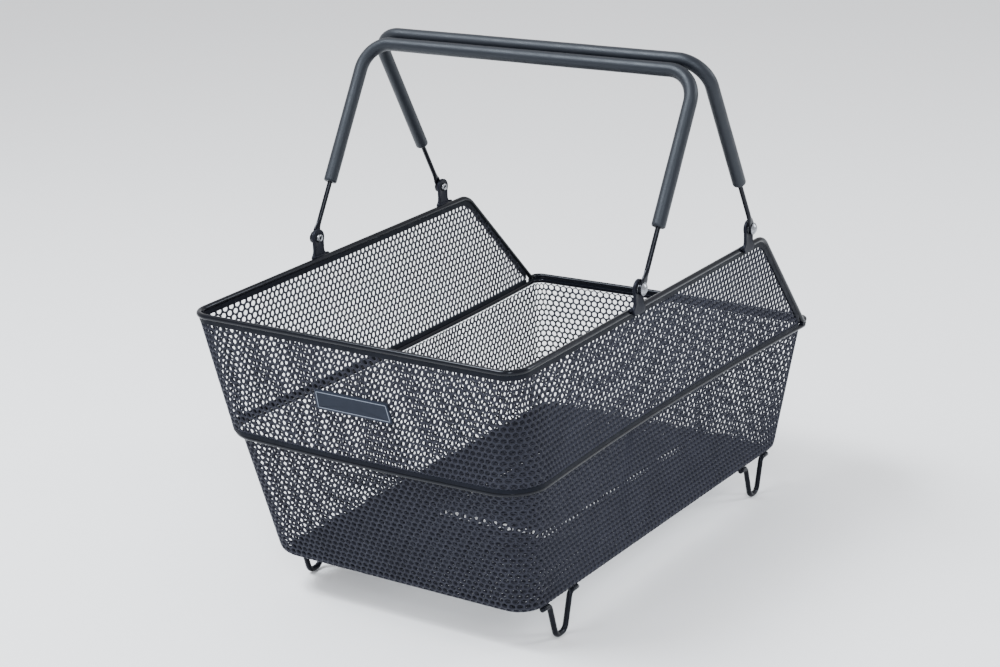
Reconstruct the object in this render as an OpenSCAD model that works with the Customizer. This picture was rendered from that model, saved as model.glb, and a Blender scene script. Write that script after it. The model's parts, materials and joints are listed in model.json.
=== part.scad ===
// Rear carrier basket for a bicycle: tapered open-mesh tub with a low far end,
// two hinged carrying handles with foam grips, four V-shaped wire feet.
// X runs along the length (badge end at -X, low end at +X), Y across the width,
// +Z up; the origin is the middle of the footprint, on the ground.

/* [Tub] */
// Length between the rim wire centres at the two ends
rim_length = 475; // [420:1:540]
// Width between the rim wire centres at the top
rim_width = 298.4; // [260:0.2:340]
// Width between the middle ring wire centres at its ends
ring_width = 285.8; // [250:0.2:320]
// How far the middle ring stands in from the rim at the badge end
ring_setback = 17.3; // [0:0.1:30]
// Inward bow of the middle ring's long sides
side_bow = 7.8; // [0:0.1:12]
// Outward bulge of the middle ring's ends
end_bulge = 4.6; // [0:0.1:8]
// Width across the bottom of the tub walls
base_width = 251; // [210:0.5:290]
// Bottom of the wall at the badge end, in from the rim
base_setback_near = 45; // [20:0.5:70]
// Bottom of the wall at the low end, in from the rim
base_setback_far = 15.5; // [5:0.5:40]
// Radius of the rounded edge between floor and walls
edge_radius = 7; // [4:0.5:12]
// Thickness of the mesh sheet
mesh_thick = 1.2; // [0.8:0.1:2]

/* [Heights] */
// Underside of the floor above the ground
floor_z = 34; // [25:0.5:50]
// Middle ring wire centre at mid length
ring_z = 147.2; // [120:0.2:170]
// Rim wire centre at mid length
rim_z = 250.4; // [220:0.2:280]
// Rise of the rim per millimetre of length
rim_rise = 0.02125; // [0:0.00025:0.05]
// Rise of the middle ring per millimetre of length
ring_rise = 0.00945; // [0:0.00005:0.03]
// Where the rim starts to slope down towards the low end
drop_start = 133; // [100:0.1:160]
// Where the slope ends
drop_end = 225; // [200:0.1:225.2]
// Gap in height between rim and ring wire centres at the low end
low_end_gap = 4.6; // [4.6:0.1:8]
// Bend radius of the rim where the slope starts
drop_bend = 22; // [10:1:30]
// Height of the raised panel in the floor
floor_step = 4; // [2:0.5:6]

/* [Wires] */
// Rim and middle ring wire, coated
rim_d = 4.5; // [4:0.1:6]
// Height of the clamping strip below the rim wire
strip_h = 5; // [3:0.5:8]
// Height of the clamping strip above the middle ring
ring_strip_h = 3.6; // [3:0.2:5]
// Thickness of both strips
strip_t = 2.2; // [1.8:0.1:3]
// Foot wire
foot_d = 4.6; // [3:0.1:6]
// Middle of the feet at the badge end
foot_near_x = -146.3; // [-160:0.1:-120]
// Middle of the feet at the low end
foot_far_x = 176.7; // [150:0.1:190]
// Half spread of a foot where its legs meet the floor
foot_half = 17; // [12:0.5:22]

/* [Handles] */
// Pivot of the handle nearer the badge end
pivot_near_x = -77.3; // [-95:0.1:-55]
// Pivot of the handle nearer the low end
pivot_far_x = 100.7; // [90:0.1:115]
// Pivot height above the rim wire centre
pivot_up = 17; // [14:0.5:22]
// Pivot to the middle of the top bar
handle_reach = 170.6; // [150:0.2:190]
// Handle rod
rod_d = 4; // [3.5:0.1:5]
// Outer diameter of the foam grip
grip_d = 11; // [10:0.5:14]
// Distance from the pivot to the end of the foam grip
grip_start = 48; // [40:1:60]
// Bend radius of the handle corners
handle_bend = 24; // [18:1:30]
// Lean of the badge-end handle towards the middle, degrees
lean_near = 30; // [28:0.5:34]
// Lean of the low-end handle towards the middle, degrees
lean_far = 28.4; // [26:0.2:32]

/* [Brackets and rivets] */
// Thickness of a bracket ear
ear_t = 2.5; // [2:0.1:3.5]
// Width of a bracket ear at the weld
ear_w = 15.5; // [12:0.5:20]
// Radius of the rounded top of an ear
ear_r = 7.2; // [6:0.2:9]
// Shank of a pivot rivet
rivet_d = 3.5; // [3:0.1:5]
// Running clearance on the shank, radial
rivet_play = 0.06; // [0.03:0.01:0.1]
// Head of a pivot rivet
head_d = 9.8; // [8:0.2:12]
// Thickness of a washer
washer_t = 0.8; // [0.5:0.1:1.2]
// Thickness of the flattened handle eye
eye_t = 2.4; // [2:0.1:3]

/* [Badge] */
// Width of the plate
badge_w = 69; // [50:1:80]
// Height of the plate
badge_h = 16.5; // [12:0.5:22]
// Height of its middle above the ground
badge_z = 195.5; // [180:0.5:210]
// Thickness of the plate
badge_t = 1.6; // [1:0.1:2.5]

/* [Hidden] */
$fn = 32;
x_near = -(rim_length + end_bulge) / 2;
x_far = x_near + rim_length;
y_rim = rim_width / 2;
y_ring = ring_width / 2;
y_base = base_width / 2;
r_w = rim_d / 2;
ring_near = x_near + ring_setback;
ring_far = x_far;
r_rim_near = 16;
r_ring_near = 30;
r_far = 9;
side_x = [-112, -2];
panel_x = [-64, 194];
panel_y = 54;
shell_end = 213.5;
y_ear = y_rim + r_w;
seam = 0.08;
y_eye = y_ear + ear_t + washer_t + 0.1 + eye_t / 2;

function rim_at(x) = rim_z + rim_rise * x;
function ring_at(x) = ring_z + ring_rise * x;
low_z = ring_at(x_far) + low_end_gap;
drop_slope = atan((rim_at(drop_start) - low_z) / (drop_end - drop_start));
function unit(v) = v / norm(v);
function mix3(a, b, t) = a + (b - a) * t;
function turn(a, v, b) = let (p = unit(v - a), q = unit(b - v)) atan2(norm(cross(p, q)), p * q);

// inward bow of the long sides of the ring at x
function bow(x) = side_bow * (1 - pow((x - (ring_near + ring_far) / 2) / ((ring_far - ring_near) / 2), 2));

// control points [x, y, z, bend radius], badge-end middle to low-end middle, y >= 0
rim_half = [
    [x_near, 0, rim_at(x_near), 300],
    [x_near, y_rim, rim_at(x_near), r_rim_near],
    [drop_start, y_rim, rim_at(drop_start), drop_bend],
    [drop_end, y_ring, low_z, 4],
    [x_far, y_ring, low_z, r_far - 1],
    [x_far + end_bulge, 0, low_z, 300]
];
ring_half = [
    [ring_near - end_bulge, 0, ring_at(ring_near), 500],
    [ring_near, y_ring, ring_at(ring_near), r_ring_near],
    for (x = side_x) [x, y_ring - bow(x), ring_at(x), 500],
    [drop_start, y_ring - bow(drop_start), ring_at(drop_start), 500],
    [ring_far, y_ring, ring_at(ring_far), r_far],
    [ring_far + end_bulge, 0, ring_at(ring_far), 300]
];
function whole(h) = concat(h, [for (i = [len(h) - 2:-1:1]) [h[i][0], -h[i][1], h[i][2], h[i][3]]]);

// ---- bent wire: straight lengths joined by round elbows ----
function xyz(p) = [p[0], p[1], p[2]];
// length of straight that a bend takes up
function bend_t(c, i) = (i == 0 || i == len(c) - 1) ? 0 : c[i][3] * tan(turn(xyz(c[i - 1]), xyz(c[i]), xyz(c[i + 1])) / 2);
function stop_t(c, i) = let (t = bend_t(c, i)) t > 0 ? t + seam : 0;

module along(p, q, d) {
    w = unit(q - p);
    u = unit(cross(abs(w[2]) > 0.9 ? [1, 0, 0] : [0, 0, 1], w));
    v = cross(w, u);
    multmatrix([[u[0], v[0], w[0], p[0]], [u[1], v[1], w[1], p[1]], [u[2], v[2], w[2], p[2]]])
        cylinder(h = norm(q - p), d = d);
}

module elbow(a, v, b, r, d) {
    p = unit(v - a);
    q = unit(b - v);
    ang = turn(a, v, b);
    s = v - p * r * tan(ang / 2);
    o = v + unit(q - p) * r / cos(ang / 2);
    e = unit(s - o);
    k = cross(e, p);
    // the bend stops just short of the straights; a weld ball closes each seam
    cut = seam / r * 180 / PI;
    multmatrix([[e[0], p[0], k[0], o[0]], [e[1], p[1], k[1], o[1]], [e[2], p[2], k[2], o[2]]])
        rotate([0, 0, cut]) rotate_extrude(angle = ang - 2 * cut, $fn = 64)
            translate([r, 0]) circle(d = d, $fn = 32);
    for (j = [s, v + q * r * tan(ang / 2)]) translate(j) sphere(d = d + 0.03);
}

module wire(c, d) {
    n = len(c);
    for (i = [0:n - 2]) {
        p = xyz(c[i]);
        q = xyz(c[i + 1]);
        w = unit(q - p);
        along(p + w * stop_t(c, i), q - w * stop_t(c, i + 1), d);
    }
    for (i = [1:n - 2]) elbow(xyz(c[i - 1]), xyz(c[i]), xyz(c[i + 1]), c[i][3], d);
}

// ---- sheet shells: loops of points over the wall, closed into one skin ----
// points on the round of a control point
function round_pts(a, v, b, r, n) =
    let (p = unit(v - a), q = unit(b - v), ang = turn(a, v, b), t = max(r * tan(ang / 2), 1),
         s = v - p * t, e = v + q * t, w = cos(ang / 2))
    [for (k = [0:n]) let (u = k / n, m = (1 - u) * (1 - u) + 2 * u * (1 - u) * w + u * u)
        ((1 - u) * (1 - u) * s + 2 * u * (1 - u) * w * v + u * u * e) / m];

// open run of points from [-y end] round the badge end to [+y end]
function open_run(h, n) =
    let (c = concat([for (i = [len(h) - 1:-1:1]) [h[i][0], -h[i][1], h[i][2], h[i][3]]], h), m = len(c))
    concat([xyz(c[0])],
        [for (i = [1:m - 2]) each round_pts(xyz(c[i - 1]), xyz(c[i]), xyz(c[i + 1]), c[i][3], n)],
        [xyz(c[m - 1])]);
function closed_run(h, n) =
    let (c = whole(h), m = len(c))
    [for (i = [0:m - 1]) each round_pts(xyz(c[(i + m - 1) % m]), xyz(c[i]), xyz(c[(i + 1) % m]), c[i][3], n)];

// a band with four long edges (section corners a, b, c, d) and closed ends
module band(a, b, c, d) {
    n = len(a);
    // both skins are split along the same diagonals, so they never cross
    polyhedron(points = concat(a, b, c, d), faces = concat(
        [for (k = [0:3], i = [0:n - 2]) let (p = k * n + i, q = ((k + 1) % 4) * n + i) each
            k == 2 ? [[p, p + 1, q], [p + 1, q + 1, q]] : [[p, p + 1, q + 1], [p, q + 1, q]]],
        [[0, n, 2 * n], [0, 2 * n, 3 * n], [n - 1, 3 * n - 1, 2 * n - 1], [n - 1, 4 * n - 1, 3 * n - 1]]));
}

// wall line of the upper band at height z, x kept: y from ring to rim
function wall_y(x, z) = let (t = (z - ring_at(x)) / (rim_at(x) - ring_at(x)), lo = y_ring + 1 - bow(x)) lo + (y_rim - lo) * t;
// the badge-end wall leans out as well
function wall_x(z) = let (t = (z - ring_at(ring_near)) / (rim_at(x_near) - ring_at(ring_near))) mixn(ring_near - 1, x_near, t);
function mixn(a, b, t) = a + (b - a) * t;
function wall_bulge(z) = let (t = (z - ring_at(ring_near)) / (rim_at(x_near) - ring_at(ring_near))) end_bulge * (1 - t);
function corner_r(z) = let (t = (z - ring_at(ring_near)) / (rim_at(x_near) - ring_at(ring_near))) mixn(r_ring_near, r_rim_near, t);

// half control line at distance down below the rim, shifted out by o
function below_rim(down, o) =
    let (s = down * tan(drop_slope / 2), zn = rim_at(x_near) - down,
         zd = rim_at(drop_start) - down, xd = drop_start - s,
         ze = rim_at(drop_start) - down - (shell_end - xd) * tan(drop_slope))
    [[wall_x(zn) - wall_bulge(zn) - o, 0, zn, 500],
     [wall_x(zn) - o, wall_y(x_near, zn) + o, zn, corner_r(zn) + o],
     for (x = side_x) [x, wall_y(x, rim_at(x) - down) + o, rim_at(x) - down, 500],
     [xd, wall_y(xd, zd) + o, zd, drop_bend],
     [shell_end, wall_y(shell_end, ze) + o, ze, 10]];
// half control line at height up above the ring wire centre
function above_ring(up, o) =
    let (zn = ring_at(ring_near) + up)
    [[wall_x(zn) - wall_bulge(zn) - o, 0, zn, 500],
     [wall_x(zn) - o, wall_y(ring_near, zn) + o, zn, corner_r(zn) + o],
     for (x = side_x) [x, wall_y(x, ring_at(x) + up) + o, ring_at(x) + up, 500],
     [drop_start, wall_y(drop_start, ring_at(drop_start) + up) + o, ring_at(drop_start) + up, 500],
     [shell_end, wall_y(shell_end, ring_at(shell_end) + up) + o, ring_at(shell_end) + up, 500]];
// wire swept along a run of points, closed to a ring or capped at its ends
module tube(run, d, sides, up = [0, 0, 1], ring = false) {
    n = len(run);
    m = ring ? n : n - 1;
    pts = [for (i = [0:n - 1])
        let (t = unit(run[ring ? (i + 1) % n : min(i + 1, n - 1)] - run[ring ? (i + n - 1) % n : max(i - 1, 0)]),
             s = unit(cross(t, up)), u = cross(s, t))
        each [for (k = [0:sides - 1]) run[i] + d / 2 * (cos(360 * k / sides) * s + sin(360 * k / sides) * u)]];
    walls = [for (i = [0:m - 1], k = [0:sides - 1])
        let (j = (i + 1) % n, l = (k + 1) % sides) each
        [[i * sides + k, i * sides + l, j * sides + l], [i * sides + k, j * sides + l, j * sides + k]]];
    caps = ring ? [] : [[for (k = [sides - 1:-1:0]) k], [for (k = [0:sides - 1]) (n - 1) * sides + k]];
    polyhedron(points = pts, faces = concat(walls, caps));
}
module sheet_between(lo, hi) {
    band(open_run(lo[0], 4), open_run(hi[0], 4), open_run(hi[1], 4), open_run(lo[1], 4));
}

coat = [0.13, 0.14, 0.17];

// ---- tub ----
module upper_mesh_band() {
    color(coat) sheet_between(
        [above_ring(r_w + ring_strip_h, mesh_thick / 2), above_ring(r_w + ring_strip_h, -mesh_thick / 2)],
        [below_rim(r_w + strip_h, mesh_thick / 2), below_rim(r_w + strip_h, -mesh_thick / 2)]);
}
module top_rim_strip() {
    color([0.3, 0.32, 0.36]) sheet_between(
        [below_rim(r_w + strip_h, strip_t / 2), below_rim(r_w + strip_h, -strip_t / 2)],
        [below_rim(r_w, strip_t / 2), below_rim(r_w, -strip_t / 2)]);
}
module middle_ring_strip() {
    color([0.3, 0.32, 0.36]) sheet_between(
        [above_ring(r_w, strip_t / 2), above_ring(r_w, -strip_t / 2)],
        [above_ring(r_w + ring_strip_h, strip_t / 2), above_ring(r_w + ring_strip_h, -strip_t / 2)]);
}
module top_rim_wire() {
    color(coat) tube(closed_run(rim_half, 6), rim_d, 16, ring = true);
}
module middle_ring_wire() {
    color(coat) tube(closed_run(ring_half, 6), rim_d, 16, ring = true);
}

// loop round the pan: t = 0 at the floor, 1 at the ring; in = inset; z as given
function pan_half(t, in, dz) =
    let (xn = mixn(x_near + base_setback_near, ring_near + r_w + 0.1, t) + in,
         xf = mixn(x_far - base_setback_far, ring_far - r_w - 0.1, t) - in,
         y = mixn(y_base, y_ring - r_w - 0.1, t) - in,
         bt = t, zs = ring_rise * t, z = mixn(floor_z, ring_z, t) + dz)
    [[xn - end_bulge * bt, 0, z + zs * xn, 400],
     [xn, y, z + zs * xn, max(mixn(24, r_ring_near - r_w, t) - in, 3)],
     for (x = side_x) [x, y - bow(x) * bt, z + zs * x, 400],
     [drop_start, y - bow(drop_start) * bt, z + zs * drop_start, 400],
     [xf, y, z + zs * xf, max(mixn(18, r_far, t) - in, 3)],
     [xf + end_bulge * bt, 0, z + zs * xf, 300]];

// a closed ring of sheet through closed runs; the runs before half lie on its inner face
module skin(runs, half) {
    n = len(runs[0]);
    k = len(runs);
    polyhedron(points = [for (r = runs) each r], faces = [for (j = [0:k - 1], i = [0:n - 1])
        let (p = j * n, q = (j + 1) % k * n, l = (i + 1) % n) each
        j < half ? [[p + i, q + l, p + l], [p + i, q + i, q + l]] : [[p + i, q + i, p + l], [p + l, q + i, q + l]]]);
}
module lower_mesh_wall() {
    h = ring_z - floor_z;
    e = edge_radius;
    m = mesh_thick;
    levels = [for (a = [0, 30, 60, 90]) [(e - e * cos(a)) / h, e - e * sin(a), a]];
    color([0.17, 0.18, 0.22]) skin([for (s = concat(
        [for (l = levels) pan_half(l[0], l[1] + m * sin(l[2]), m * cos(l[2]))],
        [pan_half(0.5, m, 0), pan_half(1, m, 2), pan_half(1, 0, 2), pan_half(0.5, 0, 0)],
        [for (i = [3:-1:0]) pan_half(levels[i][0], levels[i][1], 0)])) closed_run(s, 4)], 6);
}

// flat outline: a rectangle with round corners, r0 at the badge end and r1 at the low end
function outline(x0, x1, y, r0, r1) =
    let (c = [[x0, -y, 0], [x0, y, 0], [x1, y, 0], [x1, -y, 0]], r = [r0, r0, r1, r1])
    [for (i = [0:3], p = round_pts(c[(i + 3) % 4], c[i], c[(i + 1) % 4], r[i], 4)) [p[0], p[1]]];
module lower_mesh_floor() {
    m = mesh_thick;
    e = edge_radius;
    color([0.17, 0.18, 0.22]) translate([0, 0, floor_z]) {
        linear_extrude(m) difference() {
            polygon(outline(x_near + base_setback_near + e, x_far - base_setback_far - e, y_base - e, 24 - e, 18 - e));
            polygon(outline(panel_x[0] + m / 2, panel_x[1] - m / 2, panel_y - m / 2, 6 - m / 2, 6 - m / 2));
        }
        difference() {
            linear_extrude(floor_step + m) polygon(outline(panel_x[0], panel_x[1], panel_y, 6, 6));
            translate([0, 0, -1]) linear_extrude(floor_step + 1) polygon(outline(panel_x[0] + m, panel_x[1] - m, panel_y - m, 6 - m, 6 - m));
        }
    }
}

// ---- handle hinges, drawn for the +Y side and mirrored ----
module side(s) { if (s > 0) children(); else mirror([0, 1, 0]) children(); }
module at_pivot(x) { translate([x, 0, rim_at(x) + pivot_up]) children(); }

module bracket(x, s) {
    low = -pivot_up - 3;
    color(coat) side(s) at_pivot(x) difference() {
        union() {
            translate([0, y_ear + ear_t, 0]) rotate([90, 0, 0]) cylinder(h = ear_t, r = ear_r, $fn = 64);
            translate([0, y_ear + ear_t, 0]) rotate([90, 0, 0]) linear_extrude(ear_t)
                polygon([[-ear_r, 0], [-ear_r + 1, -4], [-ear_r + 1, -10], [-ear_w / 2, -14], [-ear_w / 2, low + 1.5], [-ear_w / 2 + 1.5, low],
                    [ear_w / 2 - 1.5, low], [ear_w / 2, low + 1.5], [ear_w / 2, -14], [ear_r - 1, -10], [ear_r - 1, -4], [ear_r, 0]]);
        }
        translate([0, y_ear + ear_t + 1, 0]) rotate([90, 0, 0]) cylinder(h = ear_t + 2, d = rivet_d + 0.02, $fn = 64);
    }
}
module rivet(x, s) {
    head_y = y_eye + eye_t / 2 + 0.1;
    dome = 2.6;
    ball = (head_d * head_d / 4 + dome * dome) / (2 * dome);
    color([0.75, 0.76, 0.78]) side(s) at_pivot(x) rotate([-90, 0, 0]) difference() {
        union() {
            intersection() {
                translate([0, 0, head_y + dome - ball]) sphere(r = ball, $fn = 96);
                translate([0, 0, head_y]) cylinder(h = dome + 1, d = head_d + 2, $fn = 96);
            }
            translate([0, 0, y_ear - 1]) cylinder(h = head_y - y_ear + 1.2, d = rivet_d, $fn = 64);
            translate([0, 0, y_ear - 1.1]) rotate_extrude($fn = 64) translate([3, 0]) circle(r = 1.1, $fn = 32);
            translate([0, 0, y_ear - 1.8]) cylinder(h = 1.4, r = 3, $fn = 64);
        }
        translate([0, 0, y_ear - 3]) cylinder(h = 6, d = rivet_d - 1.3, $fn = 64);
    }
}
module washer(x, s) {
    color([0.7, 0.71, 0.73]) side(s) at_pivot(x) rotate([-90, 0, 0]) translate([0, 0, y_ear + ear_t]) difference() {
        cylinder(h = washer_t, d = 9, $fn = 64);
        translate([0, 0, -1]) cylinder(h = washer_t + 2, d = rivet_d + 0.04, $fn = 64);
    }
}

// ---- handles, drawn upright about the pivot and then leaned ----
module lean(x, a) { at_pivot(x) rotate([0, a, 0]) children(); }
handle_line = [[0, -y_eye, 12, 0], [0, -y_eye, handle_reach, handle_bend],
    [0, y_eye, handle_reach, handle_bend], [0, y_eye, 12, 0]];
grip_line = [[0, -y_eye, grip_start, 0], handle_line[1], handle_line[2], [0, y_eye, grip_start, 0]];

module handle_rod() {
    wire(handle_line, rod_d);
    for (s = [-1, 1]) difference() {
        union() {
            translate([0, s * y_eye + eye_t / 2, 0]) rotate([90, 0, 0]) cylinder(h = eye_t, d = 10, $fn = 64);
            translate([0, s * y_eye + eye_t / 2, 0]) rotate([90, 0, 0]) linear_extrude(eye_t)
                polygon([[-4.3, 2.5], [4.3, 2.5], [2.6, 9], [1.9, 14], [-1.9, 14], [-2.6, 9]]);
        }
        translate([0, s * y_eye + eye_t, 0]) rotate([90, 0, 0]) cylinder(h = 2 * eye_t, d = rivet_d + 2 * rivet_play, $fn = 64);
    }
}
module handle_grip() {
    difference() {
        wire(grip_line, grip_d);
        wire([[0, -y_eye, grip_start - 5, 0], handle_line[1], handle_line[2], [0, y_eye, grip_start - 5, 0]], rod_d + 0.06);
    }
}

// ---- feet ----
module foot(x, s) {
    r = foot_d / 2;
    y = y_base - edge_radius + r + 0.2;
    z = floor_z - r + 0.28;
    line = [[-foot_half - 9, 0, z], [-foot_half + 2, 0, z], [-6.5, 0, r], [6.5, 0, r], [foot_half - 2, 0, z], [foot_half + 9, 0, z]];
    color(coat) side(s) translate([x, y, 0]) tube(concat([line[0]],
        [for (i = [1:4]) each round_pts(line[i - 1], line[i], line[i + 1], i % 3 == 1 ? 5 : 6.6, 8)], [line[5]]), foot_d, 24, up = [0, 1, 0]);
}

module badge_plate() {
    tilt = atan((x_near - (ring_near - 1 - end_bulge)) / (rim_at(x_near) - ring_at(ring_near)));
    x = wall_x(badge_z) - wall_bulge(badge_z) - mesh_thick / 2 - 0.05;
    h = badge_h / 2;
    w = badge_w / 2;
    color([0.28, 0.31, 0.36]) translate([x, 0, badge_z]) rotate([0, tilt, 0]) rotate([90, 0, -90]) linear_extrude(badge_t)
        polygon([[-w + 2, -h], [w + 1, -h], [w + 2.2, -h + 1.4], [w - 0.6, h - 1.2], [w - 2.4, h], [-w + 1.4, h], [-w, h - 1.6], [-w + 0.8, -h + 1]]);
}

upper_mesh_band();
lower_mesh_wall();
lower_mesh_floor();
top_rim_wire();
top_rim_strip();
middle_ring_wire();
middle_ring_strip();
bracket(pivot_near_x, 1);  // bracket_near_left
bracket(pivot_near_x, -1);  // bracket_near_right
bracket(pivot_far_x, 1);  // bracket_far_left
bracket(pivot_far_x, -1);  // bracket_far_right
rivet(pivot_near_x, 1);  // rivet_near_left
rivet(pivot_near_x, -1);  // rivet_near_right
rivet(pivot_far_x, 1);  // rivet_far_left
rivet(pivot_far_x, -1);  // rivet_far_right
washer(pivot_near_x, 1);  // washer_near_left
washer(pivot_near_x, -1);  // washer_near_right
washer(pivot_far_x, 1);  // washer_far_left
washer(pivot_far_x, -1);  // washer_far_right
color(coat) lean(pivot_near_x, lean_near) handle_rod();  // near_handle_rod
color([0.3, 0.31, 0.34]) lean(pivot_near_x, lean_near) handle_grip();  // near_handle_grip
color(coat) lean(pivot_far_x, -lean_far) handle_rod();  // far_handle_rod
color([0.3, 0.31, 0.34]) lean(pivot_far_x, -lean_far) handle_grip();  // far_handle_grip
foot(foot_near_x, 1);  // foot_near_left
foot(foot_near_x, -1);  // foot_near_right
foot(foot_far_x, 1);  // foot_far_left
foot(foot_far_x, -1);  // foot_far_right
badge_plate();
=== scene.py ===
"""Rear carrier basket with two hinged handles: its looks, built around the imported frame."""
import json
import math

import bpy
import numpy as np
from mathutils import Matrix, Vector


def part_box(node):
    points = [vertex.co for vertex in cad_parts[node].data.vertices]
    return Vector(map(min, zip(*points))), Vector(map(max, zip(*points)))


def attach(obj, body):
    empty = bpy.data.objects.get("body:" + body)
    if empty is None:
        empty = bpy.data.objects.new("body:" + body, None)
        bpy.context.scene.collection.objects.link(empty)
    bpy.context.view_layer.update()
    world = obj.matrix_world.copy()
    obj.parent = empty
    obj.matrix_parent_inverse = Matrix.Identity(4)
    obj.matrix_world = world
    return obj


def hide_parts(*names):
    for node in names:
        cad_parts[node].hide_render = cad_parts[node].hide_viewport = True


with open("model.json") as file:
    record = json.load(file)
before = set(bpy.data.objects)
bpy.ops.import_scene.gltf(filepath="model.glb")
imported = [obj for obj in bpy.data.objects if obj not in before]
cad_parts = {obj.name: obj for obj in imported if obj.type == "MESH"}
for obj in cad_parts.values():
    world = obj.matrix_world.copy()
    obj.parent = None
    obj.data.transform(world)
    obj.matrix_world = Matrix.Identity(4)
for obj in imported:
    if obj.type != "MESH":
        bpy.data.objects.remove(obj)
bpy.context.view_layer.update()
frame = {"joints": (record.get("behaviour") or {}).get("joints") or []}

MM = 0.001

# ---------------------------------------------------------------- the part's own sizes, mm
RIM_D = 4.5
R_W = RIM_D / 2
rim_lo, rim_hi = (np.array(v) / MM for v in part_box("top_rim_wire"))
X_NEAR = rim_lo[0] + R_W
X_FAR = X_NEAR + 475.0
Y_RIM = rim_hi[1] - R_W
Y_RING = 142.9
RING_NEAR, RING_FAR = X_NEAR + 17.3, X_FAR
BULGE = 4.6  # of the ends, outwards
BOW = 7.8  # of the ring's long sides, inwards
RIM_Z, RIM_RISE = 250.4, 0.02125  # height at x = 0 and rise along X
RING_Z, RING_RISE = 147.2, 0.00945
RIM_BEND, RING_BEND, RING_FAR_BEND = 16, 30, 9
SIDE_X = (-112.0, -2.0)  # control points along the long sides
# the rim's slope, and the low end that it comes down to
DROP_START, DROP_END, DROP_BEND = 133.0, 225.0, 22.0
LOW_GAP = 4.6
LOW_BENDS = (4, 8)
SHELL_END = 216.0
# floor and lower wall
FLOOR_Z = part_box("lower_mesh_floor")[0].z / MM
Y_BASE = 125.5
BASE_NEAR, BASE_FAR = X_NEAR + 45.0, X_FAR - 15.5
BASE_NEAR_BEND, BASE_FAR_BEND = 24, 18
EDGE_R = 7.0
PANEL_LO, PANEL_HI, STEP = (-64.0, -54.0), (194.0, 54.0), 4.0  # the raised panel
STEP_W, PANEL_RIM_W = 3.0, 4.0  # width of the step, and from its foot to the dip
DIP, DIP_W = 1.2, 5.0  # the dip inside the panel's pressed rim
# sheets and their holes
SHEET, FLOOR_SHEET = 2.0, 2.7
WALL_OUT = 1  # the upper wall stands this far outside the ring wire's middle
PITCH, ROW = 5.6, 4.85
HOLE_MID, HOLE_CORNER = 2.03, 2.09  # radius towards a cell's edges and corners
HOLE_SIDES = 12
LIP, LIP_AT = 0.36, 0.72  # the hole's wider mouth, and its height as a share of half the sheet
# strips
STRIP_H, RING_STRIP_H = 3.8, 3.0
IN_WIRE = 0.4  # how far a strip reaches into its wire
# hinges and handles
FIT_GAP = 0.1
Y_EAR = Y_RIM + R_W
EAR_T, EAR_LOW = 2.5, -20.0
EYE_T = 2.4
WASHER_T = 0.8
Y_EYE = Y_EAR + EAR_T + WASHER_T + FIT_GAP + EYE_T / 2
REACH = 170.6
ROD_D, GRIP_D, GRIP_START, BEND = 4.0, 11.0, 48.0, 24.0
WIRE_SIDES = 24
PIVOTS = {j["child"]: np.array(j["pos_m"]) / MM for j in frame["joints"]}
LEAN = {"near_handle": math.radians(30.0), "far_handle": math.radians(-28.4)}
OUTWARD = {"left": 1.0, "right": -1.0}


def rim_at(x):
    return RIM_Z + RIM_RISE * x


def ring_at(x):
    return RING_Z + RING_RISE * x


LOW_Z = ring_at(X_FAR) + LOW_GAP
SLOPE = math.atan((rim_at(DROP_START) - LOW_Z) / (DROP_END - DROP_START))


def bow(x):
    return BOW * (1 - ((x - (RING_NEAR + RING_FAR) / 2) / ((RING_FAR - RING_NEAR) / 2)) ** 2)


# ---------------------------------------------------------------- runs of points along the walls
def rounded(ctrl, closed, n=10):
    """Points along control points [x, y, z, bend radius].

    Each bend gives n + 1 points, so runs with the same count of controls match point by point.
    """
    c = np.array([p[:3] for p in ctrl], float)
    m = len(c)
    out = []
    for i in range(m):
        if not closed and i in (0, m - 1):
            out.append(c[i])
            continue
        a, v, b = c[i - 1], c[i], c[(i + 1) % m]
        la, lb = np.linalg.norm(v - a), np.linalg.norm(b - v)
        p, q = (v - a) / la, (b - v) / lb
        ang = math.acos(max(-1.0, min(1.0, float(p @ q))))
        slight = ang < math.radians(12)
        t = 0.46 * min(la, lb) if slight else ctrl[i][3] * math.tan(ang / 2)
        s, e, w = v - p * t, v + q * t, math.cos(ang / 2)
        for k in range(n + 1):
            u = k / n
            mass = (1 - u) ** 2 + 2 * u * (1 - u) * w + u * u
            out.append(((1 - u) ** 2 * s + 2 * u * (1 - u) * w * v + u * u * e) / mass)
    return np.array(out)


def whole(half):
    """A closed line from the half on the +Y side, from end to end."""
    return half + [(p[0], -p[1], p[2], p[3]) for p in half[-2:0:-1]]


def both_sides(half):
    """An open line whose middle is the half's first point."""
    return [(p[0], -p[1], p[2], p[3]) for p in half[:0:-1]] + half


def open_run(half):
    return rounded(both_sides(half), False)


def lift(z):
    """0 at the ring and 1 at the rim, by height at the near end."""
    return (z - ring_at(RING_NEAR)) / (rim_at(X_NEAR) - ring_at(RING_NEAR))


def wall_y(x, z):
    t = (z - ring_at(x)) / (rim_at(x) - ring_at(x))
    low = Y_RING + WALL_OUT - bow(x)
    return low + (Y_RIM - low) * t


def wall_x(z):
    return (RING_NEAR - WALL_OUT) + (X_NEAR - RING_NEAR + WALL_OUT) * lift(z)


def near_end(z):
    """The upper wall's first two control points: the near end's middle and its corner."""
    t = lift(z)
    radius = RING_BEND + (RIM_BEND - RING_BEND) * t
    return [(wall_x(z) - BULGE * (1 - t), 0, z, 0), (wall_x(z), wall_y(X_NEAR, z), z, radius)]


def wall_half(z_at):
    """Half control line of the upper wall at height z_at(x)."""
    line = near_end(z_at(X_NEAR))
    for x in (*SIDE_X, DROP_START, SHELL_END):
        line.append((x, wall_y(x, z_at(x)), z_at(x), 0))
    return line


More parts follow.
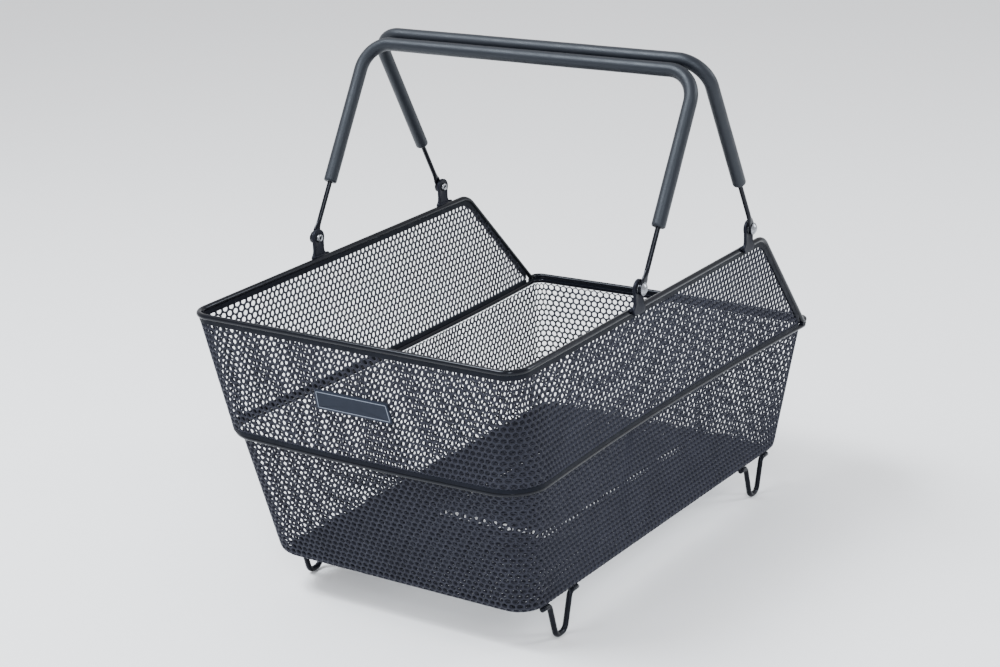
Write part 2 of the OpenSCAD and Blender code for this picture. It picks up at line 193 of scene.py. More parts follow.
def rim_line(down):
    """Half control line at a distance below the rim wire's middle, down the slope too."""
    xd = DROP_START - down * math.tan(SLOPE / 2)
    zd = rim_at(DROP_START) - down
    ze = zd - (SHELL_END - xd) * math.tan(SLOPE)
    line = near_end(rim_at(X_NEAR) - down)
    line += [(x, wall_y(x, rim_at(x) - down), rim_at(x) - down, 0) for x in SIDE_X]
    return line + [(xd, wall_y(xd, zd), zd, DROP_BEND), (SHELL_END, wall_y(SHELL_END, ze), ze, 0)]


def pan_half(t, inset, dz=0.0):
    """Half control line of the lower wall: t = 0 at the floor, 1 at the ring."""
    xn = BASE_NEAR + (RING_NEAR + R_W + FIT_GAP - BASE_NEAR) * t + inset
    xf = BASE_FAR + (RING_FAR - R_W - FIT_GAP - BASE_FAR) * t - inset
    y = Y_BASE + (Y_RING - R_W - FIT_GAP - Y_BASE) * t - inset
    z = FLOOR_Z + (RING_Z - FLOOR_Z) * t + dz
    zs = RING_RISE * t
    near_r = BASE_NEAR_BEND + (RING_BEND - R_W - BASE_NEAR_BEND) * t - inset
    far_r = BASE_FAR_BEND + (RING_FAR_BEND - BASE_FAR_BEND) * t - inset
    line = [(xn - BULGE * t, 0, z + zs * xn, 0), (xn, y, z + zs * xn, max(near_r, 3))]
    line += [(x, y - bow(x) * t, z + zs * x, 0) for x in (*SIDE_X, DROP_START)]
    return line + [(xf, y, z + zs * xf, max(far_r, 3)), (xf + BULGE * t, 0, z + zs * xf, 0)]


# ---------------------------------------------------------------- mesh helpers
def add_mesh(name, verts, polys, body, material, replaces=(), sharp=None):
    """verts in mm; polys is a list of arrays, each of faces with the same count of corners."""
    me = bpy.data.meshes.new(name)
    verts = np.asarray(verts, np.float32) * MM
    me.vertices.add(len(verts))
    me.vertices.foreach_set("co", verts.ravel())
    flat = np.concatenate([np.asarray(p, np.int32).ravel() for p in polys])
    sizes = np.concatenate([np.full(len(p), len(p[0]), np.int32) for p in polys])
    me.loops.add(len(flat))
    me.loops.foreach_set("vertex_index", flat)
    me.polygons.add(len(sizes))
    starts = np.concatenate([[0], np.cumsum(sizes)[:-1]]).astype(np.int32)
    me.polygons.foreach_set("loop_start", starts)
    me.polygons.foreach_set("use_smooth", np.ones(len(sizes), bool))
    me.update(calc_edges=True)
    me.validate()
    if sharp:
        me.set_sharp_from_angle(angle=math.radians(sharp))
    ob = bpy.data.objects.new(name, me)
    bpy.context.scene.collection.objects.link(ob)
    me.materials.append(material)
    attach(ob, body)
    if replaces:
        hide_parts(*replaces)
    return ob


def grid_faces(rows, cols, wrap_rows=False):
    """Four-cornered faces between rings of points; each ring is closed."""
    i = np.arange(rows if wrap_rows else rows - 1)[:, None]
    j = np.arange(cols)[None, :]
    i2, j2 = (i + 1) % rows, (j + 1) % cols
    corners = (i * cols + j, i * cols + j2, i2 * cols + j2, i2 * cols + j)
    return np.stack([c.ravel() for c in corners], 1)


def tangents(path, closed):
    nxt, prv = np.roll(path, -1, 0), np.roll(path, 1, 0)
    if not closed:
        nxt[-1], prv[0] = path[-1], path[0]
    d = nxt - prv
    return d / np.linalg.norm(d, axis=1)[:, None]


def turns(sides):
    return np.arange(sides) * 2 * math.pi / sides


def sweep(path, radii, up, closed, sides):
    """Rings of points round a path. up is a direction that the path never follows."""
    t = tangents(path, closed)
    s = np.cross(t, up)
    s /= np.linalg.norm(s, axis=1)[:, None]
    u = np.cross(s, t)
    ang = turns(sides)
    r = np.broadcast_to(np.asarray(radii, float).reshape(-1, 1), (len(path), sides))
    out = np.cos(ang)[None, :, None] * s[:, None] + np.sin(ang)[None, :, None] * u[:, None]
    return path[:, None] + r[..., None] * out


def capped(rings, sides):
    """Verts and faces of an open sweep whose two ends are closed by fans round a centre."""
    n = len(rings)
    verts = rings.reshape(-1, 3)
    ends = np.array([rings[0].mean(0), rings[-1].mean(0)])
    k = np.arange(sides)
    last = (n - 1) * sides
    a = np.stack([np.full(sides, n * sides), (k + 1) % sides, k], 1)
    b = np.stack([np.full(sides, n * sides + 1), last + k, last + (k + 1) % sides], 1)
    return np.concatenate([verts, ends]), [grid_faces(n, sides), a, b]


def resample(path, step, closed=False):
    """Points a step apart or closer, every given point kept."""
    pts = np.vstack([path, path[:1]]) if closed else path
    out = []
    for a, b in zip(pts[:-1], pts[1:]):
        n = max(1, math.ceil(np.linalg.norm(b - a) / step))
        out += [a + (b - a) * k / n for k in range(n)]
    if not closed:
        out.append(pts[-1])
    return np.array(out)


def merge(parts):
    """Several (verts, faces) as one."""
    verts, polys, base = [], [], 0
    for v, fs in parts:
        verts.append(np.asarray(v))
        polys += [np.asarray(f) + base for f in fs]
        base += len(v)
    return np.concatenate(verts), polys


def lathe(profile, sides=64):
    """Verts and faces of a closed profile [radius, height] turned round Z.

    The profile goes counterclockwise in (radius, height).
    """
    p = np.array(profile, float)
    ang = turns(sides)
    x, y = np.outer(np.cos(ang), p[:, 0]), np.outer(np.sin(ang), p[:, 0])
    v = np.stack([x, y, np.tile(p[:, 1], (sides, 1))], 2)
    return v.reshape(-1, 3), [grid_faces(sides, len(p), True)[:, ::-1]]


def arc(cx, cy, r, a0, a1, n):
    """n + 1 points round a centre, from angle a0 to a1 in degrees."""
    steps = [math.radians(a0 + (a1 - a0) * k / n) for k in range(n + 1)]
    return [(cx + r * math.cos(a), cy + r * math.sin(a)) for a in steps]


# ---------------------------------------------------------------- the open mesh
class Surface:
    """A sheet through matching runs, from the lowest level up: u mm along them, v mm across."""

    def __init__(self, levels, closed):
        p = np.array(levels)
        if closed:
            p = np.concatenate([p, p[:, :1]], 1)
        self.p, self.closed = p, closed
        steps_u = np.linalg.norm(np.diff(p, axis=1), axis=2).mean(0)
        steps_v = np.linalg.norm(np.diff(p, axis=0), axis=2).mean(1)
        self.u = np.concatenate([[0], np.cumsum(steps_u)])
        self.v = np.concatenate([[0], np.cumsum(steps_v)])

    def at(self, u, v):
        if self.closed:
            u = np.mod(u, self.u[-1])
        j = np.clip(np.searchsorted(self.u, u, side="right") - 1, 0, len(self.u) - 2)
        k = np.clip(np.searchsorted(self.v, v, side="right") - 1, 0, len(self.v) - 2)
        fu = ((u - self.u[j]) / (self.u[j + 1] - self.u[j]))[:, None]
        fv = ((v - self.v[k]) / (self.v[k + 1] - self.v[k]))[:, None]
        low = self.p[k, j] * (1 - fu) + self.p[k, j + 1] * fu
        high = self.p[k + 1, j] * (1 - fu) + self.p[k + 1, j + 1] * fu
        return low * (1 - fv) + high * fv

    def normal(self, u, v, d=1.2):
        n = np.cross(self.at(u + d, v) - self.at(u - d, v), self.at(u, v + d) - self.at(u, v - d))
        return n / np.linalg.norm(n, axis=1)[:, None]


class Plane(Surface):
    """The floor from above: u along X and v along Y from its corner, z by a function of both."""

    def __init__(self, corner, height):
        self.corner, self.height = corner, height

    def at(self, u, v):
        x, y = u + self.corner[0], v + self.corner[1]
        return np.stack([x, y, self.height(x, y)], 1)


def hole_mesh(surface, cells, pitch, row, n_wrap, u0, v0, thick=SHEET):
    """Verts and faces of a sheet with a round hole in each hexagonal cell (i, j).

    Strands between holes are rounded as by a thick coating. Cells share their corners.
    n_wrap is the count of cells in a closed row, or 0.
    """
    cells = np.asarray(cells, int)
    i, j = cells[:, 0], cells[:, 1]
    m = len(cells)
    cu = u0 + pitch * (i + 0.5 * (j % 2))
    cv = v0 + row * j
    # a cell's six corners, counted in half pitches and thirds of a row
    key_u = (2 * i + (j % 2))[:, None] + np.array([1, 0, -1, -1, 0, 1])
    key_v = (3 * j)[:, None] + np.array([1, 2, 1, -1, -2, -1])
    if n_wrap:
        key_u = np.mod(key_u, 2 * n_wrap)
    keys = np.stack([key_u, key_v], 2).reshape(-1, 2)
    uniq, inv = np.unique(keys, axis=0, return_inverse=True)
    inv, nc = inv.reshape(-1, 6), len(uniq)
    corner_u = u0 + uniq[:, 0] * pitch / 2
    corner_v = v0 + uniq[:, 1] * row / 3
    half = thick / 2
    cp, cn = surface.at(corner_u, corner_v), surface.normal(corner_u, corner_v)
    verts = [cp + cn * half, cp - cn * half]
    # three rings a hole, at 30, 60, ... degrees; odd points face the cell's edges
    k = np.arange(HOLE_SIDES)
    ang = np.radians(30 + 30 * k)
    scale_v = row / (pitch * math.sqrt(3) / 2)
    base = np.where(k % 2 == 0, HOLE_CORNER, HOLE_MID) * pitch / PITCH
    for grow, height in ((LIP, LIP_AT * half), (0.0, 0.0), (LIP, -LIP_AT * half)):
        ru = cu[:, None] + (base + grow) * np.cos(ang)
        rv = cv[:, None] + (base + grow) * np.sin(ang) * scale_v
        p, n = surface.at(ru.ravel(), rv.ravel()), surface.normal(ru.ravel(), rv.ravel())
        verts.append(p + n * height)
    top, middle, low = 2 * nc + np.arange(3) * HOLE_SIDES * m
    start = np.arange(m) * HOLE_SIDES
    here, following = start[:, None] + k, start[:, None] + (k + 1) % HOLE_SIDES
    quads = []
    for r0, r1 in ((top, middle), (middle, low)):
        quad = np.stack([r0 + here, r0 + following, r1 + following, r1 + here], 2)
        quads.append(quad.reshape(-1, 4)[:, ::-1])
    tris = []
    for e in range(6):
        a, b = inv[:, e], inv[:, (e + 1) % 6]
        ra, rm, rb = start + 2 * e, start + 2 * e + 1, start + (2 * e + 2) % HOLE_SIDES
        tris += [(a, b, top + rm), (a, top + rm, top + ra), (b, top + rb, top + rm)]
        a, b = a + nc, b + nc
        tris += [(b, a, low + rm), (a, low + ra, low + rm), (b, low + rm, low + rb)]
    # edges with one cell only get a side face
    e0, e1 = inv.ravel(), np.roll(inv, -1, 1).ravel()
    code = np.minimum(e0, e1).astype(np.int64) * nc + np.maximum(e0, e1)
    _, first, counts = np.unique(code, return_index=True, return_counts=True)
    lone = first[counts == 1]
    a, b = e0[lone], e1[lone]
    quads.append(np.stack([b, a, a + nc, b + nc], 1))
    tris = np.concatenate([np.stack(t, 1) for t in tris])
    return np.concatenate(verts), [np.concatenate(quads), tris]


def cell_grid(rows, cols):
    """Cells (i, j) of a whole grid, row by row."""
    jj, ii = np.meshgrid(np.arange(rows), np.arange(cols), indexing="ij")
    return ii.ravel(), jj.ravel()


def smooth(t):
    t = np.clip(t, 0, 1)
    return t * t * (3 - 2 * t)


# ---------------------------------------------------------------- materials
class Nodes:
    """A material on one Principled shader, and short ways to drive it."""

    def __init__(self, name, color, roughness, **fixed):
        self.mat = bpy.data.materials.new(name)
        self.mat.use_nodes = True
        self.nt = self.mat.node_tree
        self.bsdf = next(n for n in self.nt.nodes if n.type == "BSDF_PRINCIPLED")
        self.bsdf.inputs["Base Color"].default_value = (*color, 1)
        self.bsdf.inputs["Roughness"].default_value = roughness
        for key, value in fixed.items():
            self.bsdf.inputs[key.replace("_", " ")].default_value = value
        self.coord = self.nt.nodes.new("ShaderNodeTexCoord").outputs["Object"]
        self.mat.diffuse_color = (*color, 1)

    def noise(self, scale, detail=3.0, rough=0.5, stretch=None):
        node = self.nt.nodes.new("ShaderNodeTexNoise")
        node.inputs["Scale"].default_value = scale
        node.inputs["Detail"].default_value = detail
        node.inputs["Roughness"].default_value = rough
        source = self.coord
        if stretch:
            m = self.nt.nodes.new("ShaderNodeMapping")
            m.inputs["Scale"].default_value = stretch
            self.nt.links.new(self.coord, m.inputs["Vector"])
            source = m.outputs["Vector"]
        self.nt.links.new(source, node.inputs["Vector"])
        return node.outputs["Fac"]

    def ramp(self, source, lo, hi, a=0.0, b=1.0):
        node = self.nt.nodes.new("ShaderNodeMapRange")
        for key, value in (("From Min", lo), ("From Max", hi), ("To Min", a), ("To Max", b)):
            node.inputs[key].default_value = value
        self.nt.links.new(source, node.inputs["Value"])
        return node.outputs["Result"]

    def mix(self, fac, a, b):
        node = self.nt.nodes.new("ShaderNodeMix")
        node.data_type = "RGBA"
        self.nt.links.new(fac, node.inputs["Factor"])
        for socket, value in ((node.inputs[6], a), (node.inputs[7], b)):
            if isinstance(value, tuple):
                socket.default_value = (*value, 1)
            else:
                self.nt.links.new(value, socket)
        return node.outputs[2]

    def paint(self, color):
        self.nt.links.new(color, self.bsdf.inputs["Base Color"])

    def rough(self, value):
        self.nt.links.new(value, self.bsdf.inputs["Roughness"])

    def bump(self, *layers):
        """layers of (height socket, distance in metres), added one on another."""
        last = None
        for height, distance in layers:
            node = self.nt.nodes.new("ShaderNodeBump")
            node.inputs["Strength"].default_value = 1.0
            node.inputs["Distance"].default_value = distance
            self.nt.links.new(height, node.inputs["Height"])
            if last:
                self.nt.links.new(last, node.inputs["Normal"])
            last = node.outputs["Normal"]
        self.nt.links.new(last, self.bsdf.inputs["Normal"])


def shade(color, f):
    return tuple(min(1.0, c * f) for c in color)


def coated(name, color, rough, peel, coat=0.0, dust=0.25):
    """Powder or dip coating: orange peel, cloudy sheen, a little dust and paler rubbed spots."""
    m = Nodes(name, color, rough, Coat_Weight=coat, Coat_Roughness=0.08, IOR=1.45,
              Specular_IOR_Level=0.10, Specular_Tint=(0.76, 0.82, 1.0, 1.0))
    cloud = m.noise(38.0, 4.0, 0.6)
    speck = m.ramp(m.noise(900.0, 2.0, 0.6), 0.60, 0.78)
    base = m.mix(m.ramp(cloud, 0.3, 0.7), shade(color, 0.86), shade(color, 1.16))
    m.paint(m.mix(m.ramp(speck, 0, 1, 0, dust), base, shade(color, 2.2)))
    m.rough(m.ramp(m.noise(120.0, 5.0, 0.65), 0.25, 0.75, rough * 0.82, rough * 1.25))
    m.bump((m.noise(420.0, 2.0, 0.5), peel), (m.noise(2600.0, 2.0, 0.5), peel * 0.12))
    return m.mat


COAT = (0.0020, 0.0024, 0.0042)
MAT_WIRE = coated("glossy_coat", COAT, 0.20, 0.00006, coat=0.20)
MAT_MESH = coated("mesh_coat", (0.0205, 0.0212, 0.0285), 0.44, 0.00005, dust=0.35)
MAT_STRIP = coated("strip_coat", (0.0040, 0.0047, 0.0072), 0.56, 0.00004)
MAT_BRACKET = coated("bracket_coat", (0.0080, 0.0086, 0.0125), 0.36, 0.00006)
MAT_FOOT = coated("foot_coat", (0.0035, 0.0040, 0.0062), 0.26, 0.00006, coat=0.1)


def metal():
    m = Nodes("zinc", (0.66, 0.67, 0.69), 0.28, Metallic=1.0)
    cloud = m.noise(900.0, 4.0, 0.6)
    m.paint(m.mix(m.ramp(cloud, 0.35, 0.7), (0.16, 0.165, 0.18), (0.36, 0.37, 0.39)))
    m.rough(m.ramp(m.noise(2400.0, 3.0, 0.6), 0.3, 0.7, 0.20, 0.38))
    m.bump((m.noise(3000.0, 2.0, 0.5), 0.00002))
    return m.mat


def foam():
    color = (0.0042, 0.0051, 0.0080)
    m = Nodes("foam", color, 0.44, Sheen_Weight=0.02, Sheen_Roughness=0.4,
              Specular_IOR_Level=0.36, Specular_Tint=(0.85, 0.92, 1.0, 1.0))
    fine = m.noise(1500.0, 3.0, 0.6)
    cell = m.nt.nodes.new("ShaderNodeTexVoronoi")
    cell.inputs["Scale"].default_value = 1700.0
    m.nt.links.new(m.coord, cell.inputs["Vector"])
    cloud = m.ramp(m.noise(26.0, 4.0, 0.6), 0.3, 0.7)
    base = m.mix(cloud, shade(color, 0.88), shade(color, 1.14))
    m.paint(m.mix(m.ramp(fine, 0.35, 0.7, 0, 0.35), base, shade(color, 1.7)))
    m.rough(m.ramp(m.noise(60.0, 4.0, 0.6), 0.3, 0.7, 0.38, 0.52))
    m.bump((cell.outputs["Distance"], 0.00008), (m.noise(90.0, 3.0, 0.5), 0.00010))
    return m.mat


def badge_paint(name, color, rough):
    m = Nodes(name, color, rough, Specular_IOR_Level=0.10, Specular_Tint=(0.70, 0.82, 1.0, 1.0))
    grain = m.noise(1100.0, 3.0, 0.6)
    cloud = m.ramp(m.noise(60.0, 4.0, 0.6), 0.3, 0.7)
    m.paint(m.mix(cloud, shade(color, 0.88), shade(color, 1.12)))
    m.rough(m.ramp(grain, 0.3, 0.7, rough * 0.85, rough * 1.2))
    m.bump((grain, 0.00003))
    return m.mat


MAT_METAL = metal()
MAT_FOAM = foam()
MAT_BADGE = badge_paint("badge_paint", (0.0120, 0.0145, 0.0225), 0.40)
MAT_BADGE_LINE = badge_paint("badge_line", (0.16, 0.18, 0.22), 0.38)

def mesh_piece(name, node, sheet, ii, jj, flip=False):
    """One piece of open mesh. sheet holds hole_mesh's surface and the measures of its grid."""
    surface, *grid = sheet
    v, f = hole_mesh(surface, np.stack([ii, jj], 1), *grid)
    if flip:
        f = [g[:, ::-1] for g in f]
    add_mesh(name, v, f, "basket", MAT_MESH, (node,), sharp=80)


# ---------------------------------------------------------------- upper mesh band
UNDER = 0.5  # how far the sheet's edges reach under the wires
BAND_FIRST, BAND_SPARE = 0.2, 0.35  # in rows: the lowest row's height and the spare height
SIDE_MARGIN, LEVEL_MARGIN = PITCH * 0.6, 1.0
BELOW_RIM = 3.4  # no cell's middle is nearer the rim wire's
band_low = wall_half(lambda x: ring_at(x) + R_W - UNDER)
band_high = wall_half(lambda x: rim_at(x) - R_W + UNDER)
band_mid = wall_half(lambda x: (ring_at(x) + rim_at(x)) / 2)
band = Surface([open_run(h) for h in (band_low, band_mid, band_high)], False)
n_rows = int(band.v[-1] / ROW)
row_band = band.v[-1] / (n_rows + BAND_SPARE)
n_cols = int(band.u[-1] / PITCH)
ii, jj = cell_grid(n_rows + 1, n_cols + 1)
mid_u = band.u[-1] / 2 - PITCH * (n_cols // 2)
cu, cv = mid_u + PITCH * (ii + 0.5 * (jj % 2)), row_band * (jj + BAND_FIRST)
inside = (cu > SIDE_MARGIN) & (cu < band.u[-1] - SIDE_MARGIN)
inside &= (cv > LEVEL_MARGIN) & (cv < band.v[-1] - LEVEL_MARGIN)
ii, jj, cu, cv = ii[inside], jj[inside], cu[inside], cv[inside]
spot = band.at(cu, cv)
level = spot[:, 0] < DROP_START
slope_z = rim_at(DROP_START) - (spot[:, 0] - DROP_START) * math.tan(SLOPE)
rim_z = np.where(level, rim_at(spot[:, 0]), slope_z)
keep = spot[:, 2] < rim_z - BELOW_RIM / np.where(level, 1.0, math.cos(SLOPE))
ii, jj, spot = ii[keep], jj[keep], spot[keep]
sheet = (band, PITCH, row_band, 0, mid_u, row_band * BAND_FIRST)
for side, mask in (("left", spot[:, 1] >= 0), ("right", spot[:, 1] < 0)):
    mesh_piece("upper_mesh_" + side, "upper_mesh_band", sheet, ii[mask], jj[mask])

# ---------------------------------------------------------------- lower mesh wall and floor
PAN_FIRST, PAN_SPARE = 0.3, 0.2  # in rows, as for the band
FLAT_W = 5  # of the wall's own flat margin on the floor
h_pan = RING_Z - FLOOR_Z
half_sheet = SHEET / 2
levels = [pan_half(0, EDGE_R + FLAT_W, half_sheet)]
for a in np.radians((0, 22.5, 45, 67.5, 90)):
    s, c = math.sin(a), math.cos(a)
    inset = EDGE_R - EDGE_R * s + half_sheet * s
    levels.append(pan_half((EDGE_R - EDGE_R * c) / h_pan, inset, half_sheet * c))
levels += [pan_half(t, half_sheet) for t in (0.3, 0.5, 0.75, 1.0)]
pan = Surface([rounded(whole(half), True) for half in levels], True)
n_pan = 2 * round(pan.u[-1] / PITCH / 2)
pitch_pan = pan.u[-1] / n_pan
rows_pan = int(pan.v[-1] / ROW)
row_pan = pan.v[-1] / (rows_pan + PAN_SPARE)
ii, jj = cell_grid(rows_pan + 1, n_pan)
cv = row_pan * (jj + PAN_FIRST)
keep = cv < pan.v[-1] - row_pan * PAN_FIRST
ii, jj, cv = ii[keep], jj[keep], cv[keep]
spot = pan.at(pitch_pan * (ii + 0.5 * (jj % 2)), cv)
mid_x = float(spot[:, 0].mean())
sheet = (pan, pitch_pan, row_pan, n_pan, 0.0, row_pan * PAN_FIRST)
for end, sx in (("near", -1), ("far", 1)):
    for side, sy in OUTWARD.items():
        mask = ((spot[:, 0] - mid_x) * sx >= 0) & (spot[:, 1] * sy >= 0)
        name = f"lower_wall_{end}_{side}"
        mesh_piece(name, "lower_mesh_wall", sheet, ii[mask], jj[mask], True)


def floor_height(x, y):
    """The raised panel with a slightly prouder pressed rim."""
    from_ends = np.minimum(x - PANEL_LO[0], PANEL_HI[0] - x)
    from_sides = np.minimum(y - PANEL_LO[1], PANEL_HI[1] - y)
    d = np.minimum(from_ends, from_sides)
    z = smooth(d / STEP_W) * STEP - smooth((d - PANEL_RIM_W) / DIP_W) * DIP
    return FLOOR_Z + FLOOR_SHEET / 2 + z


corner = (BASE_NEAR + EDGE_R, -Y_BASE + EDGE_R)
size = (BASE_FAR - EDGE_R - corner[0], 2 * (Y_BASE - EDGE_R))
n_u, n_v = int(size[0] / PITCH) + 1, int(size[1] / ROW) + 1
u0, v0 = (size[0] - PITCH * (n_u - 0.5)) / 2, (size[1] - ROW * (n_v - 1)) / 2
ii, jj = cell_grid(n_v, n_u)
px, py = corner[0] + u0 + PITCH * (ii + 0.5 * (jj % 2)), corner[1] + v0 + ROW * jj


def inside_outline(x, y, margin):
    """Inside the floor's outline, which has round corners."""
    ok = np.ones(len(x), bool)
    from_side = size[1] / 2 - np.abs(y)
    for from_end, radius in ((x - corner[0], BASE_NEAR_BEND - EDGE_R),
                             (corner[0] + size[0] - x, BASE_FAR_BEND - EDGE_R)):
        dx, dy = radius - from_end, radius - from_side
        in_corner = (dx > 0) & (dy > 0)
        ok &= ~in_corner | (np.hypot(dx, dy) < radius - margin)
        ok &= from_end > margin
    return ok & (from_side > margin)


FLOOR_MARGIN, FLOOR_SPLIT_X = 1.6, 10.0
keep = inside_outline(px, py, FLOOR_MARGIN)
ii, jj, px = ii[keep], jj[keep], px[keep]
sheet = (Plane(corner, floor_height), PITCH, ROW, 0, u0, v0, FLOOR_SHEET)
for end, side in (("near", -1), ("far", 1)):
    mask = (px - FLOOR_SPLIT_X) * side >= 0
    mesh_piece("floor_mesh_" + end, "lower_mesh_floor", sheet, ii[mask], jj[mask])

# ---------------------------------------------------------------- rim, ring and their strips
rim_half = [
    (X_NEAR, 0, rim_at(X_NEAR), 0),
    (X_NEAR, Y_RIM, rim_at(X_NEAR), RIM_BEND),
    (DROP_START, Y_RIM, rim_at(DROP_START), DROP_BEND),
    (DROP_END, Y_RING, LOW_Z, LOW_BENDS[0]),
    (X_FAR, Y_RING, LOW_Z, LOW_BENDS[1]),
    (X_FAR + BULGE, 0, LOW_Z, 0),
]
ring_half = [
    (RING_NEAR - BULGE, 0, ring_at(RING_NEAR), 0),
    (RING_NEAR, Y_RING, ring_at(RING_NEAR), RING_BEND),
    *((x, Y_RING - bow(x), ring_at(x), 0) for x in (*SIDE_X, DROP_START)),
    (RING_FAR, Y_RING, ring_at(RING_FAR), RING_FAR_BEND),
    (RING_FAR + BULGE, 0, ring_at(RING_FAR), 0),
]


def ring_wire(name, half, node):
    path = resample(rounded(whole(half), True, 14), 6.0, True)
    rings = sweep(path, R_W, (0, 0, 1), True, WIRE_SIDES)
    faces = grid_faces(len(path), WIRE_SIDES, True)
    add_mesh(name, rings.reshape(-1, 3), [faces], "basket", MAT_WIRE, (node,))


ring_wire("rim_wire", rim_half, "top_rim_wire")
ring_wire("ring_wire", ring_half, "middle_ring_wire")


def resample_pair(low, high, step=5.0):
    """Two matching runs cut finer together."""
    a, b = [], []
    for k in range(len(low) - 1):
        n = max(1, math.ceil(np.linalg.norm(low[k + 1] - low[k]) / step))
        for q in range(n):
            a.append(low[k] + (low[k + 1] - low[k]) * q / n)
            b.append(high[k] + (high[k + 1] - high[k]) * q / n)
    return np.array(a + [low[-1]]), np.array(b + [high[-1]])


def strip(name, low, high, node, thick=2.2, lip=0.55):
    """A folded strip that grips the sheet's edge: square at the wire, rounded at its free edge."""
    lo, hi = resample_pair(low, high)
    up = hi - lo
    height = np.linalg.norm(up, axis=1)[:, None]
    up = up / height
    out = np.cross(up, tangents(lo, False))
    out /= np.linalg.norm(out, axis=1)[:, None]
    h = thick / 2
    # as (distance outwards, height), where None is the strip's whole height
    profile = arc(h - lip, lip, lip, 0, -90, 4) + arc(-h + lip, lip, lip, -90, -180, 4)
    profile += [(-h, None), (h, None)]
    rings = np.stack([lo + out * a + up * (height if b is None else b) for a, b in profile], 1)
    verts, polys = capped(rings, len(profile))
    add_mesh(name, verts, polys, "basket", MAT_STRIP, (node,), sharp=50)


rim_low, rim_top = (open_run(rim_line(down)) for down in (R_W + STRIP_H, R_W - IN_WIRE))
strip("rim_strip", rim_low, rim_top, "top_rim_strip")
ring_top = open_run(wall_half(lambda x: ring_at(x) + R_W + RING_STRIP_H))
ring_low = open_run(wall_half(lambda x: ring_at(x) + R_W - IN_WIRE))
strip("ring_strip", ring_top[::-1], ring_low[::-1], "middle_ring_strip")


# the same kind of strip closes the gap between the two wires round the low end
LOW_STRIP_T, LOW_STRIP_LIP, LOW_STRIP_BEND = 3.6, 0.3, 8.5
LOW_STRIP_START = DROP_END - 2
LOW_STRIP_IN = 0.9  # how far its edges stop short of the wires' middles


def low_end(z):
    """A run round the low end at height z."""
    corner_at, start = (X_FAR, Y_RING, z, LOW_STRIP_BEND), (LOW_STRIP_START, Y_RING, z, 0)
    return open_run([(X_FAR + BULGE, 0, z, 0), corner_at, start])


low_runs = low_end(ring_at(X_FAR) + LOW_STRIP_IN), low_end(LOW_Z - LOW_STRIP_IN)
strip("low_end_strip", *low_runs, "middle_ring_strip", LOW_STRIP_T, LOW_STRIP_LIP)

# ---------------------------------------------------------------- brackets, rivets, washers
PIN_BORE = 1.76


def ear_outline(samples=96):
    """The ear's edge about its pivot, as [x, z]: round top, waisted tab, flare into the weld."""
    right = arc(0, 0, 7.2, 90, -28, 20)
    right += arc(12.2, -9.6, 6.0, 176, 222, 8)
    right += [(8.7, -14.9), (9.0, -15.6), (8.8, -16.5), (8.2, -17.3), (7.75, -18.2)]
    right += arc(7.75 - 1.6, EAR_LOW + 1.6, 1.6, 0, -90, 4)
    pts = np.array(right + [(-x, z) for x, z in right[::-1]][:-1])
    ring = np.vstack([pts, pts[:1]])
    d = np.concatenate([[0], np.cumsum(np.linalg.norm(np.diff(ring, axis=0), axis=1))])
    s = np.linspace(0, d[-1], samples, endpoint=False)
    return np.stack([np.interp(s, d, ring[:, 0]), np.interp(s, d, ring[:, 1])], 1)


def plate(outline, hole_r, y0, y1, soft=0.45):
    """A plate from height y0 to y1 with a round hole and soft edges.

    outline is [x, z], clockwise seen from +Y.
    """
    n = len(outline)
    t = np.roll(outline, -1, 0) - np.roll(outline, 1, 0)
    t /= np.linalg.norm(t, axis=1)[:, None]
    inward = np.stack([t[:, 1], -t[:, 0]], 1)
    if ((outline + inward * 0.1) ** 2).sum() > (outline ** 2).sum():
        inward = -inward
    ang = np.unwrap(np.arctan2(outline[:, 1], outline[:, 0]))
    even = np.linspace(ang[0], ang[0] - 2 * math.pi, n, endpoint=False)
    ang = even * 0.35 + ang * 0.65  # the hole's points lie partly as the outline's do
    circle = np.stack([np.cos(ang), np.sin(ang)], 1)
    loops = []

    def loop(xz, y):
        loops.append(np.stack([xz[:, 0], np.full(n, y), xz[:, 1]], 1))

    steps = [(1, 0), (0.62, 0.08), (0.3, 0.3), (0.08, 0.62), (0, 1)]
    loop(circle * hole_r, y0 + 0.2)
    loop(circle * hole_r, y1 - 0.2)
    loop(circle * (hole_r + 0.2), y1)
    loop(outline + inward * (soft + 0.6), y1)
    for f, g in steps:
        loop(outline + inward * soft * f, y1 - soft * g)
    for f, g in steps[::-1]:
        loop(outline + inward * soft * f, y0 + soft * g)
    loop(outline + inward * (soft + 0.6), y0)
    loop(circle * (hole_r + 0.2), y0)
    return np.concatenate(loops), [grid_faces(len(loops), n, True)]


def fix_side(verts, polys, y_sign):
    """Mirrors a piece drawn for the +Y side."""
    if y_sign > 0:
        return verts, polys
    return verts * np.array([1, -1, 1]), [p[:, ::-1] for p in polys]


def weld_bead(a, b, r, seed, n=22, sides=14):
    """A rippled bead between two points, thin at its ends."""
    rng = np.random.default_rng(seed)
    a, b = np.array(a, float), np.array(b, float)
    t = np.linspace(0, 1, n)
    path = a + (b - a) * t[:, None]
    ripple = 1 + 0.06 * np.sin(t * 26.0) + 0.04 * rng.standard_normal(n)
    swell = np.sqrt(np.clip(1 - (2 * t - 1) ** 6, 0, 1)) * ripple
    swell[0] = swell[-1] = 0.12
    up = (0, 0, 1) if abs((b - a)[2]) < 0.9 * np.linalg.norm(b - a) else (1, 0, 0)
    return capped(sweep(path, r * swell, up, False, sides), sides)


